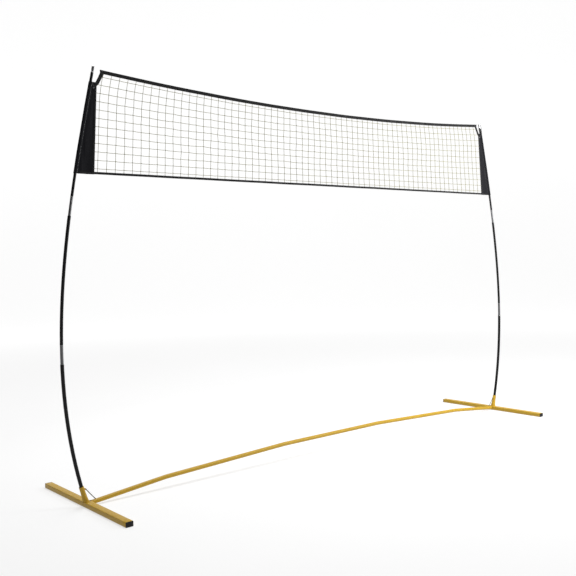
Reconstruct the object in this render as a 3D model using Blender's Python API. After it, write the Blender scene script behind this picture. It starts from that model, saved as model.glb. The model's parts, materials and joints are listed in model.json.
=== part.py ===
"""Portable volleyball net on two bowed poles, standing on a flat tubular base.

Metres, +Z up. X runs along the net, +Y is the back, and the origin lies on the floor in the
middle of the feet. Everything but the feet lies in one upright plane, y = NET_Y. The left half
is the -X half. Each half has the same sizes, mirrored.
"""

import math

import bmesh
import bpy
from mathutils import Matrix, Vector

# Base: two feet that run front to back, and an arched bar of five tubes between them.
SPAN = 3.59  # from one foot's middle line to the other's
NET_Y = -0.02  # the poles and the bar stand this far in front of the feet's middle
FOOT_LENGTH = 0.946
FOOT_WIDTH = 0.042
FOOT_HEIGHT = 0.027
FOOT_WALL = 0.002
CAP_PLATE = 0.004  # an end cap's visible plate
CAP_PLUG = 0.018  # and the plug behind it, inside the foot
BAR_RADIUS = 0.0125
BAR_WALL = 0.0016
BAR_SPIGOT_RADIUS = 0.0105  # the swaged end that slips into the next tube
BAR_SPIGOT = 0.060
BAR_RISE = 0.097  # the middle tube's centre above the floor
BAR_KNEE = 0.0616  # and the centre at the outer bends
BAR_FOOT_Z = 0.0158  # and where the bar meets a foot
INNER_BEND = 0.433  # from the middle to the inner bends
OUTER_BEND = 1.311  # and to the outer bends
JOINT_TO_BEND = 0.012  # a tube's end stops this far short of the next tube's bend

# Poles: each is a cantilever, bent by the net's pull at its top.
POLE_HEIGHT = 2.28  # the black pole's top above the floor
POLE_LEAN = 0.3055  # outward slope at the floor
POLE_BEND = 1.063
SECTION_RADII = {"lower": 0.0100, "middle": 0.00875, "upper": 0.0075}
POLE_WALL = 0.002
COLLAR_BOTTOMS = (0.764, 1.529)  # the bare stretch of each ferrule starts here
COLLAR = 0.100
SPIGOT = 0.060  # how far a ferrule goes into each section
PLAY = 0.0004  # radial gap of every slip fit
SEAM = 0.0003  # gap between pieces that touch
FERRULE_BORE = 0.5  # of its outside radius at the upper spigot

# Sockets, welded on the feet
SOCKET_TOP = 0.110
SOCKET_FLOOR = 0.0330  # the bore's bottom
SOCKET_RADIUS = 0.0132
SOCKET_BASE_RADIUS = 0.0178
PLUG_LIP = 0.004  # the rubber plug's rim, under the lower section
STAY_RADIUS = 0.0024
LUG_HEIGHT = 0.091  # the stay's lug on the socket
LUG_REACH = 0.005  # and how far it stands out
STAY_FOOT = 0.046  # from a foot's middle line to the stay's end on the bar

# Net
TAPE_THICK = 0.003
TOP_TAPE = 0.020  # widths
BOTTOM_TAPE = 0.013
SIDE_TAPE = 0.010
TOP_MIDDLE = 2.230  # centre of the top tape, half way between the poles
TOP_SAG = 0.0240  # rise of the top tape per square metre of distance from the middle
BOTTOM_CENTRE = 1.757
NETTING_THICK = 0.0012
EDGE_BOTTOM = 1.690  # the net's side edge, from the middle, at the bottom tape
EDGE_TOP = 1.658  # and at the panel's top
PANEL_BOTTOM = 1.750
PANEL_TOP = 2.2345
PANEL_THICK = 0.0024
SLEEVE_RADIUS = 0.0098
SLEEVE_BORE = 0.0081
NET_GAP = 0.008  # clearance between the hanging net and the side tapes
CORNER_OUT = (1.636, 2.3045)  # the side tape's upper corner, outer and inner points
CORNER_IN = (1.617, 2.279)
GROMMET_AT = (1.6788, 2.208)
GROMMET_RADIUS = 0.0066
GROMMET_HOLE = 0.0036
LOOP_RADIUS = 0.0015
TIP_TOP = 2.318
TIP_RADIUS = 0.0072
NOCK_WIDTH = 0.0044
NOCK_DEPTH = 0.010

SIDES = {"left": -1, "right": 1}
BASE_PARTS = ["bar_stub", "foot", "foot_front_cap", "foot_back_cap", "socket", "stay_lug", "stay"]
UPPER_PARTS = ["upper_pole", "pole_tip", "side_panel", "side_tape", "grommet", "elastic_loop"]
ROUND = 24  # segments around a tube

COLOURS = {
    "yellow_paint": ((0.78, 0.52, 0.09), 0.38, 0.0),
    "black_pole": ((0.015, 0.015, 0.017), 0.35, 0.0),
    "grey_ferrule": ((0.20, 0.20, 0.21), 0.35, 0.8),
    "tip_metal": ((0.55, 0.55, 0.56), 0.30, 1.0),
    "black_plastic": ((0.02, 0.02, 0.02), 0.55, 0.0),
    "stay_steel": ((0.30, 0.30, 0.30), 0.35, 1.0),
    "black_fabric": ((0.02, 0.02, 0.022), 0.85, 0.0),
    "net_cord": ((0.55, 0.53, 0.44), 0.80, 0.0),
    "dark_metal": ((0.08, 0.08, 0.085), 0.40, 1.0),
    "elastic": ((0.03, 0.03, 0.03), 0.80, 0.0),
}


def material(name):
    found = bpy.data.materials.get(name)
    if found:
        return found
    made = bpy.data.materials.new(name)
    made.use_nodes = True
    colour, roughness, metallic = COLOURS[name]
    shader = made.node_tree.nodes["Principled BSDF"]
    shader.inputs["Base Color"].default_value = (*colour, 1.0)
    shader.inputs["Roughness"].default_value = roughness
    shader.inputs["Metallic"].default_value = metallic
    return made


def make_object(name, mesh_builder, look):
    """A new object from a bmesh, with its faces turned outward."""
    bmesh.ops.recalc_face_normals(mesh_builder, faces=mesh_builder.faces)
    mesh = bpy.data.meshes.new(name)
    mesh_builder.to_mesh(mesh)
    mesh_builder.free()
    made = bpy.data.objects.new(name, mesh)
    bpy.context.collection.objects.link(made)
    mesh.materials.append(material(look))
    return made


def plate(name, outline, thick, look, y=NET_Y):
    """An outline of (x, z) points, thick along Y and centred on y."""
    builder = bmesh.new()
    corners = [builder.verts.new((px, y - thick / 2, pz)) for px, pz in outline]
    face = builder.faces.new(corners)
    grown = bmesh.ops.extrude_face_region(builder, geom=[face])
    moved = [v for v in grown["geom"] if isinstance(v, bmesh.types.BMVert)]
    bmesh.ops.translate(builder, verts=moved, vec=(0, thick, 0))
    return make_object(name, builder, look)


def loft(name, rings, look, through=False):
    """Rings of points joined in order; a through piece joins its last ring to its first."""
    builder = bmesh.new()
    loops = [[builder.verts.new(p) for p in ring] for ring in rings]
    pairs = list(zip(loops, loops[1:]))
    if through:
        pairs.append((loops[-1], loops[0]))
    for low, high in pairs:
        for i in range(len(low)):
            j = (i + 1) % len(low)
            builder.faces.new((low[i], low[j], high[j], high[i]))
    if not through:
        builder.faces.new(loops[0])
        builder.faces.new(loops[-1])
    return make_object(name, builder, look)


# Centre lines. A line is a list of points in the net's plane, straight between them.


def pole_offset(height):
    """How far a pole's centre is outside its foot's middle line, at a height."""
    up = height / POLE_HEIGHT
    return POLE_HEIGHT * (POLE_LEAN * up - POLE_BEND * (up**2 / 2 - up**3 / 6))


def pole_heights():
    """The heights of a pole's points. Each slip fit lies on one straight stretch."""
    straight = [(SOCKET_FLOOR, SOCKET_TOP + 0.004)]
    straight += [(low + COLLAR, low + COLLAR + SPIGOT) for low in COLLAR_BOTTOMS]
    straight.append((POLE_HEIGHT - 0.02, TIP_TOP))
    heights = []
    for (_, start), (end, _) in zip(straight, straight[1:]):
        steps = max(2, round((end - start) / 0.062))
        heights += [start + (end - start) * k / steps for k in range(steps + 1)]
    return [SOCKET_FLOOR, *heights, TIP_TOP]


def pole_line(side):
    return [Vector((side * (SPAN / 2 + pole_offset(z)), NET_Y, z)) for z in pole_heights()]


def bar_line(side):
    """From beyond the middle of the bar to a foot's inner face."""
    spots = [
        (-INNER_BEND, BAR_RISE),
        (INNER_BEND, BAR_RISE),
        (OUTER_BEND, BAR_KNEE),
        (SPAN / 2 - FOOT_WIDTH / 2 - SEAM, BAR_FOOT_Z),
    ]
    return [Vector((side * px, NET_Y, pz)) for px, pz in spots]


def direction(line, index):
    """The line's direction at one of its points, half way between its two stretches."""
    before = line[index] - line[index - 1] if index else line[1] - line[0]
    after = line[index + 1] - line[index] if index + 1 < len(line) else before
    return (before.normalized() + after.normalized()).normalized()


def place(line, axis, value):
    """The point where the line reaches a value of x or z, and its direction there."""
    for index in range(len(line) - 1):
        a, b = line[index], line[index + 1]
        low, high = sorted((a[axis], b[axis]))
        if abs(a[axis] - value) < 1e-7:
            return a, direction(line, index)
        if low < value < high:
            share = (value - a[axis]) / (b[axis] - a[axis])
            return a.lerp(b, share), (b - a).normalized()
    if abs(line[-1][axis] - value) < 1e-7:
        return line[-1], direction(line, len(line) - 1)
    near_start = abs(line[0][axis] - value) < abs(line[-1][axis] - value)
    end, other = (line[0], line[1]) if near_start else (line[-1], line[-2])
    slope = (end - other).normalized()
    reached = end + slope * ((value - end[axis]) / slope[axis])
    return reached, -slope if near_start else slope


def circle(centre, along, radius, count=ROUND):
    """A ring of points around a line that lies in the net's plane."""
    across = Vector((0, 1, 0))
    up = along.cross(across).normalized()
    turn = [2 * math.pi * k / count for k in range(count)]
    return [centre + radius * (math.cos(a) * up + math.sin(a) * across) for a in turn]


def swept(name, line, axis, outside, inside, look, square_end=False):
    """A round piece along a line, from profiles of (x or z, radius).

    outside runs from one end to the other. inside runs the same way and is a through bore,
    or is empty for a solid piece. The line's own points are added between the profile's.
    A square end lies in an upright plane across X, whatever the line's slope there.
    """
    stops = [p[axis] for p in line]
    last = outside[-1][0]

    def rings(profile):
        made = []
        for (a, ra), (b, rb) in zip(profile, profile[1:]):
            made.append((a, ra))
            between = [s for s in stops if min(a, b) + 1e-6 < s < max(a, b) - 1e-6]
            for s in sorted(between, reverse=b < a):
                made.append((s, ra + (rb - ra) * (s - a) / (b - a)))
        return [*made, profile[-1]]

    path = rings(outside)
    if inside:
        path += rings(inside)[::-1]
    loops = []
    for stop, radius in path:
        centre, along = place(line, axis, stop)
        if square_end and stop == last:
            along = Vector((math.copysign(1, along.x), 0, 0))
        loops.append(circle(centre, along, radius))
    return loft(name, loops, look, through=bool(inside))


def cut(target, tool):
    """Take the tool's shape out of the target and remove the tool."""
    knife = target.modifiers.new("cut", "BOOLEAN")
    knife.operation = "DIFFERENCE"
    knife.solver = "EXACT"
    knife.object = tool
    shape = bpy.data.meshes.new_from_object(
        target.evaluated_get(bpy.context.evaluated_depsgraph_get())
    )
    target.modifiers.clear()
    target.data = shape
    bpy.data.objects.remove(tool)


def block(name, low, high, look):
    builder = bmesh.new()
    bmesh.ops.create_cube(builder, size=1.0)
    size, middle = Vector(high) - Vector(low), (Vector(high) + Vector(low)) / 2
    bmesh.ops.scale(builder, verts=builder.verts, vec=size)
    bmesh.ops.translate(builder, verts=builder.verts, vec=middle)
    return make_object(name, builder, look)


# Base


def foot(label, side):
    """A rectangular tube with open ends, which the caps close."""
    middle = side * SPAN / 2

    def outline(y, width, height):
        low = (FOOT_HEIGHT - height) / 2
        half = width / 2
        return [
            Vector((middle - half, y, low)),
            Vector((middle + half, y, low)),
            Vector((middle + half, y, low + height)),
            Vector((middle - half, y, low + height)),
        ]

    front, back = -FOOT_LENGTH / 2 + CAP_PLATE, FOOT_LENGTH / 2 - CAP_PLATE
    inner = (FOOT_WIDTH - 2 * FOOT_WALL, FOOT_HEIGHT - 2 * FOOT_WALL)
    rings = [
        outline(front, FOOT_WIDTH, FOOT_HEIGHT),
        outline(back, FOOT_WIDTH, FOOT_HEIGHT),
        outline(back, *inner),
        outline(front, *inner),
    ]
    loft(f"{label}_foot", rings, "yellow_paint", through=True)
    foot_cap(f"{label}_foot_front_cap", outline, front, -1)
    foot_cap(f"{label}_foot_back_cap", outline, back, 1)


def foot_cap(name, outline, edge, way):
    """A plastic cap: a plate over the tube's end and a plug inside it."""
    plug = (FOOT_WIDTH - 2 * FOOT_WALL - 2 * PLAY, FOOT_HEIGHT - 2 * FOOT_WALL - 2 * PLAY)
    rings = [
        outline(edge + way * CAP_PLATE, FOOT_WIDTH - 0.003, FOOT_HEIGHT - 0.003),
        outline(edge + way * (CAP_PLATE - 0.0015), FOOT_WIDTH, FOOT_HEIGHT),
        outline(edge + way * SEAM, FOOT_WIDTH, FOOT_HEIGHT),
        outline(edge + way * SEAM, *plug),
        outline(edge - way * CAP_PLUG, *plug),
    ]
    loft(name, rings, "black_plastic")


def socket(label, side):
    """A leaning tube that flares to its foot, with a blind bore for the pole."""
    line = pole_line(side)
    bore = SECTION_RADII["lower"] + PLAY
    base = FOOT_HEIGHT + SEAM
    rings = []
    for height, radius in (
        (base, SOCKET_BASE_RADIUS),
        (0.052, 0.0146),
        (0.075, SOCKET_RADIUS),
        (SOCKET_TOP - 0.001, SOCKET_RADIUS),
        (SOCKET_TOP, SOCKET_RADIUS - 0.001),
        (SOCKET_TOP, bore),
        (SOCKET_FLOOR, bore),
    ):
        centre, _ = place(line, 2, height)
        along = (line[1] - line[0]).normalized()
        if height == base:
            flat = circle(centre, Vector((0, 0, 1)), radius)
            rings.append([Vector((p.x, p.y, base)) for p in flat])
        else:
            rings.append(circle(centre, along, radius))
    loft(f"{label}_socket", rings, "yellow_paint")


def stay(label, side):
    """A thin steel rod from a lug near the socket's top down to the bar."""
    centre, along = place(pole_line(side), 2, LUG_HEIGHT)
    inward = Vector((-side, 0, 0))
    normal = (inward - along * inward.dot(along)).normalized()
    start = centre + normal * (SOCKET_RADIUS + SEAM)
    corners = [
        start - along * 0.006,
        start + along * 0.006,
        start + along * 0.003 + normal * LUG_REACH,
        start - along * 0.003 + normal * LUG_REACH,
    ]
    plate(f"{label}_stay_lug", [(p.x, p.z) for p in corners], 0.005, "yellow_paint")
    top = start + normal * (LUG_REACH + 0.0005)
    spot, _ = place(bar_line(side), 0, side * (SPAN / 2 - STAY_FOOT))
    low = Vector((spot.x, NET_Y, spot.z + BAR_RADIUS + 0.0016))
    way = (low - top).normalized()
    ends = (top + way * 0.0032, low - way * 0.0026)
    loft(f"{label}_stay", [circle(p, way, STAY_RADIUS, 12) for p in ends], "stay_steel")


def bar_tube(name, side, start, end, spigot, square_end=False):
    """A tube of the bar, with a swaged spigot at its inner end where spigot is true."""
    line = bar_line(side)
    bore = BAR_RADIUS - BAR_WALL
    outside, inside = [(start, BAR_RADIUS), (end, BAR_RADIUS)], [(start, bore), (end, bore)]
    if spigot:
        slim = BAR_SPIGOT_RADIUS
        shoulder = start + SEAM
        outside = [(start - BAR_SPIGOT, slim), (shoulder, slim), (shoulder, BAR_RADIUS), outside[-1]]
        slim -= BAR_WALL
        inside = [(start - BAR_SPIGOT, slim), (start + 0.006, slim), (start + 0.010, bore), inside[-1]]
    scale = [[(side * s, r) for s, r in profile] for profile in (outside, inside)]
    swept(name, line, 0, *scale, "yellow_paint", square_end)


def bar():
    first, second = INNER_BEND - JOINT_TO_BEND, OUTER_BEND - JOINT_TO_BEND
    bar_tube("centre_bar_tube", 1, -first, first, False)
    for label, side in SIDES.items():
        bar_tube(f"{label}_bar_tube", side, first, second, True)
        foot_face = SPAN / 2 - FOOT_WIDTH / 2 - SEAM
        bar_tube(f"{label}_bar_stub", side, second, foot_face, True, square_end=True)


# Poles


def pole(label, side):
    line = pole_line(side)
    first, second = COLLAR_BOTTOMS
    ends = {
        "lower": (SOCKET_FLOOR + SEAM + PLUG_LIP + SEAM, first),
        "middle": (first + COLLAR + SEAM, second),
        "upper": (second + COLLAR + SEAM, POLE_HEIGHT),
    }
    for part, (bottom, top) in ends.items():
        radius = SECTION_RADII[part]
        bore = radius - POLE_WALL
        profiles = [(bottom, radius), (top, radius)], [(bottom, bore), (top, bore)]
        swept(f"{label}_{part}_pole", line, 2, *profiles, "black_pole")
    ferrule(f"{label}_lower_ferrule", line, first, "lower", "middle")
    ferrule(f"{label}_upper_ferrule", line, second, "middle", "upper")
    bore = SECTION_RADII["lower"] - POLE_WALL - PLAY
    floor = SOCKET_FLOOR + SEAM
    plug = [
        (floor, SECTION_RADII["lower"] - 0.0012),
        (floor + 0.0012, SECTION_RADII["lower"]),
        (floor + PLUG_LIP, SECTION_RADII["lower"]),
        (floor + PLUG_LIP, bore),
        (floor + 0.030, bore),
    ]
    swept(f"{label}_pole_plug", line, 2, plug, [], "black_plastic")
    pole_tip(label, line)


def ferrule(name, line, bottom, below, above):
    """A tube that is glued into the section below; the section above slips over its top."""
    low_spigot = SECTION_RADII[below] - POLE_WALL - PLAY
    high_spigot = SECTION_RADII[above] - POLE_WALL - PLAY
    collar = SECTION_RADII[above] - 0.0003
    bore = high_spigot * FERRULE_BORE
    top = bottom + COLLAR
    outside = [
        (bottom - SPIGOT, low_spigot),
        (bottom + SEAM, low_spigot),
        (bottom + SEAM, collar),
        (top, collar),
        (top, high_spigot),
        (top + SPIGOT, high_spigot),
    ]
    inside = [(bottom - SPIGOT, bore), (top + SPIGOT, bore)]
    swept(name, line, 2, outside, inside, "grey_ferrule")


def pole_tip(label, line):
    """A metal cap in the pole's end, with a groove and a nock for the elastic loop."""
    spigot = SECTION_RADII["upper"] - POLE_WALL - PLAY
    floor = POLE_HEIGHT + SEAM
    outside = [
        (POLE_HEIGHT - 0.018, spigot),
        (floor, spigot),
        (floor, TIP_RADIUS + 0.0006),
        (floor + 0.004, TIP_RADIUS + 0.0006),
        (floor + 0.006, TIP_RADIUS - 0.0012),
        (TIP_TOP - 0.022, TIP_RADIUS - 0.0012),
        (TIP_TOP - 0.020, TIP_RADIUS),
        (TIP_TOP - 0.002, TIP_RADIUS),
        (TIP_TOP, TIP_RADIUS - 0.002),
    ]
    tip = swept(f"{label}_pole_tip", line, 2, outside, [], "tip_metal")
    top, along = place(line, 2, TIP_TOP)
    side_way = along.cross(Vector((0, 1, 0))).normalized() * NOCK_WIDTH / 2
    low, high = top - along * NOCK_DEPTH, top + along * 0.01
    builder = bmesh.new()
    corners = [low - side_way, low + side_way, high + side_way, high - side_way]
    face = builder.faces.new([builder.verts.new(p - Vector((0, 0.02, 0))) for p in corners])
    grown = bmesh.ops.extrude_face_region(builder, geom=[face])
    moved = [v for v in grown["geom"] if isinstance(v, bmesh.types.BMVert)]
    bmesh.ops.translate(builder, verts=moved, vec=(0, 0.04, 0))
    cut(tip, make_object("nock_tool", builder, "tip_metal"))


# Net


def edge_at(height):
    """The net's side edge, from the middle, at a height."""
    share = (height - PANEL_BOTTOM) / (PANEL_TOP - PANEL_BOTTOM)
    return EDGE_BOTTOM + (EDGE_TOP - EDGE_BOTTOM) * share


def top_tape_centre(x):
    return TOP_MIDDLE + TOP_SAG * x**2


def top_reach():
    return CORNER_IN[0] - NET_GAP


def spread(reach, steps=24):
    return [reach * (2 * k / steps - 1) for k in range(steps + 1)]


def netting():
    """One thin panel that stands for the square mesh of cords."""
    floor = BOTTOM_CENTRE + BOTTOM_TAPE / 2 + SEAM
    low, knee = edge_at(floor) - NET_GAP, edge_at(PANEL_TOP - 0.02) - NET_GAP
    outline = [(-low, floor), (low, floor), (knee, PANEL_TOP - 0.02)]
    outline += [
        (x, top_tape_centre(x) - TOP_TAPE / 2 - SEAM) for x in reversed(spread(top_reach()))
    ]
    outline.append((-knee, PANEL_TOP - 0.02))
    plate("netting", outline, NETTING_THICK, "net_cord")


def tapes():
    across = spread(top_reach())
    upper = [(x, top_tape_centre(x) + TOP_TAPE / 2) for x in across]
    lower = [(x, top_tape_centre(x) - TOP_TAPE / 2) for x in reversed(across)]
    plate("top_tape", upper + lower, TAPE_THICK, "black_fabric")
    half, reach = BOTTOM_TAPE / 2, edge_at(BOTTOM_CENTRE) - NET_GAP
    outline = [
        (-reach, BOTTOM_CENTRE - half),
        (reach, BOTTOM_CENTRE - half),
        (reach, BOTTOM_CENTRE + half),
        (-reach, BOTTOM_CENTRE + half),
    ]
    plate("bottom_tape", outline, TAPE_THICK, "black_fabric")


def side_tape(label, side):
    """Webbing along the net's side edge, which runs on up to the top tape's corner."""
    outline = [
        (edge_at(PANEL_BOTTOM), PANEL_BOTTOM),
        (edge_at(PANEL_BOTTOM) + SIDE_TAPE, PANEL_BOTTOM),
        (edge_at(PANEL_TOP) + SIDE_TAPE, PANEL_TOP - 0.004),
        CORNER_OUT,
        (CORNER_IN[0], CORNER_OUT[1] - 0.0015),
        CORNER_IN,
        (1.646, 2.228),
        (edge_at(PANEL_TOP - 0.02), PANEL_TOP - 0.02),
    ]
    plate(f"{label}_side_tape", [(side * px, pz) for px, pz in outline], TAPE_THICK, "black_fabric")


def side_panel(label, side):
    """A fabric panel: a sleeve around the pole and a flat part out to the side tape."""
    line = pole_line(side)
    heights = [PANEL_BOTTOM]
    heights += [z for z in pole_heights() if PANEL_BOTTOM + 0.01 < z < PANEL_TOP - 0.01]
    heights.append(PANEL_TOP)
    half = PANEL_THICK / 2
    root = math.asin(half / SLEEVE_RADIUS)
    arc = [root + (2 * math.pi - 2 * root) * k / (ROUND - 1) for k in range(ROUND)]
    outer_rings, inner_rings = [], []
    for height in heights:
        centre, _ = place(line, 2, height)
        middle = abs(centre.x)
        tip = edge_at(height) + SIDE_TAPE + 0.0004
        around = [
            (middle - SLEEVE_RADIUS * math.cos(a), SLEEVE_RADIUS * math.sin(a)) for a in arc
        ]
        around += [(tip, -half), (tip, half)]
        turns = [*arc, 2 * math.pi - root / 3, 2 * math.pi + root / 3]
        bore = [(middle - SLEEVE_BORE * math.cos(a), SLEEVE_BORE * math.sin(a)) for a in turns]
        outer_rings.append([Vector((side * px, NET_Y + py, height)) for px, py in around])
        inner_rings.append([Vector((side * px, NET_Y + py, height)) for px, py in bore])
    panel = loft(f"{label}_side_panel", outer_rings + inner_rings[::-1], "black_fabric", through=True)
    cut(panel, grommet_ring("hole_tool", side, GROMMET_HOLE + 0.0012, 0.0, 0.01))


def grommet_ring(name, side, outer, hole, thick):
    """A short ring along Y at the grommet's place, or a solid plug where hole is zero."""
    centre = Vector((side * GROMMET_AT[0], NET_Y, GROMMET_AT[1]))
    turn = [2 * math.pi * k / ROUND for k in range(ROUND)]

    def ring(radius, y):
        return [centre + Vector((radius * math.cos(a), y, radius * math.sin(a))) for a in turn]

    if not hole:
        return loft(name, [ring(outer, -thick), ring(outer, thick)], "dark_metal")
    flange, neck = 0.0009, GROMMET_HOLE + 0.0008
    face = PANEL_THICK / 2 + SEAM
    rings = [
        ring(hole, -face - flange),
        ring(outer - 0.0006, -face - flange),
        ring(outer, -face),
        ring(neck, -face),
        ring(neck, face),
        ring(outer, face),
        ring(outer - 0.0006, face + flange),
        ring(hole, face + flange),
    ]
    return loft(name, rings, "dark_metal", through=True)


def loop(label, side):
    """An elastic loop: through the grommet, up both faces of the pole and over the nock."""
    line = pole_line(side)
    top, along = place(line, 2, TIP_TOP)
    over = top - along * (NOCK_DEPTH - LOOP_RADIUS - PLAY)
    eye = Vector((side * GROMMET_AT[0], NET_Y, GROMMET_AT[1] + 0.0012))
    clear = SLEEVE_RADIUS + LOOP_RADIUS + 0.0008
    shoulder, _ = place(line, 2, PANEL_TOP + 0.004)
    shoulder = shoulder + Vector((-side * 0.001, 0, 0))
    half = [
        eye,
        eye + Vector((0, 0.0032, 0.0002)),
        eye + Vector((0, 0.0056, 0.0030)),
        shoulder.lerp(eye, 0.45) + Vector((0, clear * 0.80, 0)),
        shoulder + Vector((0, clear, 0)),
        over - along * 0.008 + Vector((0, TIP_RADIUS + LOOP_RADIUS + 0.0009, 0)),
        over - along * 0.001 + Vector((0, TIP_RADIUS + 0.0012, 0)),
        over + Vector((0, 0.004, 0)),
        over,
    ]
    front = [Vector((p.x, 2 * NET_Y - p.y, p.z)) for p in half[-2:0:-1]]
    path = half + front
    rings = []
    for index, point in enumerate(path):
        ahead = path[(index + 1) % len(path)] - path[index - 1]
        along_cord = ahead.normalized()
        sideways = Vector((1, 0, 0)) - along_cord * along_cord.x
        sideways.normalize()
        up = along_cord.cross(sideways)
        turn = [2 * math.pi * k / 8 for k in range(8)]
        rings.append(
            [point + LOOP_RADIUS * (math.cos(a) * sideways + math.sin(a) * up) for a in turn]
        )
    loft(f"{label}_elastic_loop", rings, "elastic", through=True)


# Joints


def joint_empties(label, side):
    """An empty on each joint's axis, each under the one before, and the pieces that it carries."""
    tubes, sections = bar_line(side), pole_line(side)
    first, second = COLLAR_BOTTOMS
    parts = {
        "bar": (tubes, 0, side * (INNER_BEND - JOINT_TO_BEND), ["bar_tube"]),
        "base": (tubes, 0, side * (OUTER_BEND - JOINT_TO_BEND), BASE_PARTS),
        "lower": (sections, 2, SOCKET_TOP, ["lower_pole", "lower_ferrule", "pole_plug"]),
        "middle": (sections, 2, first + COLLAR, ["middle_pole", "upper_ferrule"]),
        "upper": (sections, 2, second + COLLAR, UPPER_PARTS),
    }
    above, start = None, Vector((0, 0, 0))
    for body, (line, axis, value, pieces) in parts.items():
        spot, _ = place(line, axis, value)
        empty = bpy.data.objects.new(f"{label}_{body}_joint", None)
        empty.empty_display_type = "SINGLE_ARROW"
        empty.empty_display_size = 0.1
        empty.parent = above
        empty.location = spot - start
        bpy.context.collection.objects.link(empty)
        for piece in pieces:
            node = bpy.data.objects[f"{label}_{piece}"]
            node.data.transform(Matrix.Translation(-spot))
            node.parent = empty
        above, start = empty, spot


def build():
    for old in list(bpy.data.objects):
        bpy.data.objects.remove(old)
    bar()
    for label, side in SIDES.items():
        foot(label, side)
        socket(label, side)
        stay(label, side)
        pole(label, side)
        side_panel(label, side)
        side_tape(label, side)
        grommet_ring(f"{label}_grommet", side, GROMMET_RADIUS, GROMMET_HOLE, 0.0)
        loop(label, side)
        joint_empties(label, side)
    netting()
    tapes()


build()
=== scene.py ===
"""Looks for a portable volleyball net on two bowed poles.

Metres, in the frame's own axes: X along the net, +Y to the back, +Z up. The CAD's tubes stay and
get their materials. The mesh of cords, the tapes, the fabric panels, the feet, the welds and the
small fittings are built here, in the places that the CAD gives them.
"""

import json
import math
import random

import bmesh
import bpy
from mathutils import Matrix, Vector, noise

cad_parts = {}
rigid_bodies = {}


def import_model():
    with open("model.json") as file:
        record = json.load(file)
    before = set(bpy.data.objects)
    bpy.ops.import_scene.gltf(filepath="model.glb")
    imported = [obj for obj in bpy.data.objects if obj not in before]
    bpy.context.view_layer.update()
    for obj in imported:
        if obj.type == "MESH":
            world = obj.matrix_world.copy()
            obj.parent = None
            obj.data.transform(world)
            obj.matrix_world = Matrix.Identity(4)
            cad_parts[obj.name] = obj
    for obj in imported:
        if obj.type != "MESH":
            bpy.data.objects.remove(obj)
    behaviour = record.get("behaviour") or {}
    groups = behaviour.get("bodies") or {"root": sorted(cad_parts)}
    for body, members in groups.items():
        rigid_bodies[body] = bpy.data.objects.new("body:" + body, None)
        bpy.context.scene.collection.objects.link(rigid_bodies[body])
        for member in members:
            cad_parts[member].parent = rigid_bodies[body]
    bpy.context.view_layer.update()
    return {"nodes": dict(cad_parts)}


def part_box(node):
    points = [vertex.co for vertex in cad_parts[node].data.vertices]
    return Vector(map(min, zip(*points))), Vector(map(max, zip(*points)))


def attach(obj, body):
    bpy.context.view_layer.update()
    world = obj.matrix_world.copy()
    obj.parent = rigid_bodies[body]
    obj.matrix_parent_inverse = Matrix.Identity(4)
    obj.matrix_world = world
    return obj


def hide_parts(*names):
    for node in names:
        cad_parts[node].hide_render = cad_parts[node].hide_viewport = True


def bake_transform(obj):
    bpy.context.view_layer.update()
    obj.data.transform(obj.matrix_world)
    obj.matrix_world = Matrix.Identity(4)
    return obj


for leftover in list(bpy.data.objects):
    bpy.data.objects.remove(leftover)
noise.seed_set(7)  # noise_vector would start from the clock otherwise
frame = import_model()

# Sizes that the frame gives
SIDES = {"left": -1, "right": 1}
NETTING_LOW, NETTING_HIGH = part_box("netting")
TOP_LOW, TOP_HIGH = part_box("top_tape")
BOTTOM_LOW, BOTTOM_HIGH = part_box("bottom_tape")
PANEL_LOW, PANEL_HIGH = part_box("right_side_panel")
FOOT_LOW, FOOT_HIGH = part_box("right_foot")
NET_Y = (NETTING_LOW.y + NETTING_HIGH.y) / 2
SPAN = FOOT_LOW.x + FOOT_HIGH.x  # between the feet's middle lines

BAR_FOOT_Z = 0.0158  # the bar's centre where it meets a foot

# The poles' bow, as the CAD has it: the slope at the floor, and how fast it turns back upward
POLE_HEIGHT = 2.28
POLE_LEAN = 0.3055
POLE_BEND = 1.063
TIP_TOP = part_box("right_pole_tip")[1].z
TIP_RADIUS = 0.0072

# The net
HALF_CELLS = 32.62  # cells from the middle to each side edge
CELL_SHIFT = -0.26  # the middle upright cord stands this many cells to the left of the middle
LAST_COLUMN = 32
ROW_CELLS = 12  # from tape to tape
ROW_MARGIN = 0.43  # in cells, from a tape to the first level cord
LEVEL_CORDS = 12
CORD_RADIUS = 0.00130
CORD_SIDES = 6
CORD_SLACK = 0.0011  # how far a level cord hangs between two knots
KNOT_RISE, KNOT_TURNS, KNOT_CORD = 0.0030, 1.35, 0.00095
TUCK = 0.002  # how far cords run on into the tapes
TOP_TAPE = 0.020
BOTTOM_TAPE = BOTTOM_HIGH.z - BOTTOM_LOW.z
TOP_MIDDLE = TOP_LOW.z + TOP_TAPE / 2
TOP_SAG = 0.0240  # the top tape rises by this times x squared
EDGE_BOTTOM, EDGE_TOP = 1.690, 1.658  # x of the net's side edge at the panel's foot and top
CORNER = (1.617, 2.279)  # the side tape's inner point at the upper corner
CORNER_OUT = 1.637  # where the top tape ends
CORNER_LEAN = 0.020  # how far the corner pulls the upright cords in
LEAN_FROM = 2.12  # above this height
CHAIN = ("centre", "bar", "base", "lower", "middle", "upper")  # bodies from the middle outward
CUTS = (5, 11, 17, 24, 28, LAST_COLUMN + 1)  # where one strip of net ends and the next begins
SEAM_MARGIN = 0.004  # on each side of a cut, where nothing bends

TOP_BEAD, BOTTOM_BEAD = 0.0026, 0.0020  # radius of the cord that each tape is folded over
TOP_ROWS, BOTTOM_ROWS = (0.0022, -0.0078), (-0.0045,)  # heights of the stitches in a tape
TAPE_FACE = 0.00105  # from a tape's middle to the stitches on its face
SIDE_HALF = 0.0013  # half the side tape's thickness

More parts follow.
